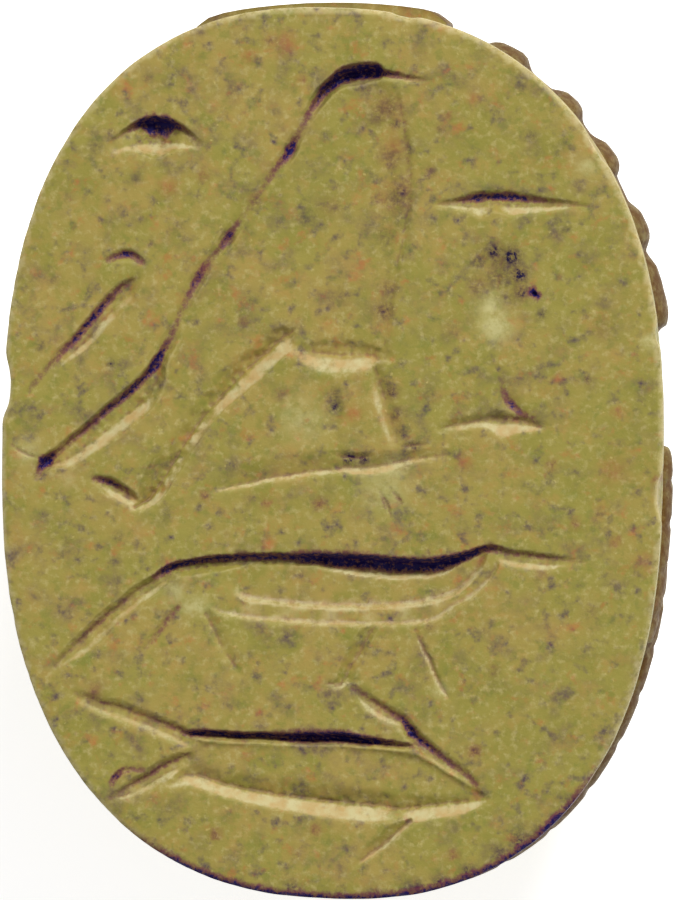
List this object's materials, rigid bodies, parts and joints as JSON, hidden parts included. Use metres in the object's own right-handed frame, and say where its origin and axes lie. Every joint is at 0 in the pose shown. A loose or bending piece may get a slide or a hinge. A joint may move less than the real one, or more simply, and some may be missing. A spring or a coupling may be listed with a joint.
{
  "type": "scarab seal",
  "caption": "Oval beetle-shaped stamp seal lying on its back, its flat seal face cut with a falcon, a crocodile and a fish.",
  "frame": {"origin": "under the middle of the seal's box, on the surface that the beetle's back lies on", "axes": "+Y from the tail end to the head end, +Z out of the seal face"},
  "size_m": [0.0134, 0.018, 0.008],
  "materials": {
    "glazed_stone": "worn olive glaze with cream wear on its edges and dark patina in its cuts"
  },
  "bodies": {
    "root": {"scarab": "glazed_stone"}
  },
  "joints": []
}
